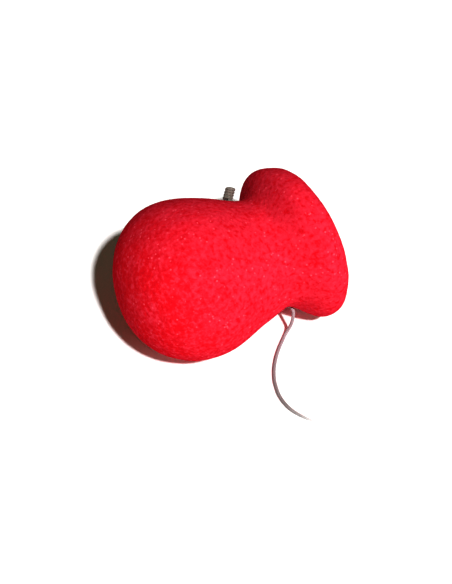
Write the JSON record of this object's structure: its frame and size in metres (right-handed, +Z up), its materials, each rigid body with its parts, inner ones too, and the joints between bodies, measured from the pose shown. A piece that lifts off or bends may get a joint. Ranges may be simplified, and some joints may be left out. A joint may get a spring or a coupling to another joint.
{
  "type": "clown nose",
  "caption": "Red sponge-foam clown nose with a round bulb, a waist and a thick flange, hollow at the back, and a thin loose elastic held across its waist.",
  "frame": {"origin": "on the surface that the nose lies on, under the middle of the foam", "axes": "+Z up as the nose lies; +Y along the foam's axis, out of the open back; the bulb faces -Y and the tail lies on the +X side"},
  "size_m": [0.0783, 0.0648, 0.0517],
  "materials": {
    "red_foam": "soft fine-celled sponge foam, matte",
    "dark_elastic": "round elastic cord, dark, knotted",
    "grey_elastic": "thin round elastic cord, mauve grey"
  },
  "bodies": {
    "root": {"foam_nose": "red_foam", "elastic_through": "dark_elastic", "elastic_tail": "grey_elastic"}
  },
  "joints": []
}
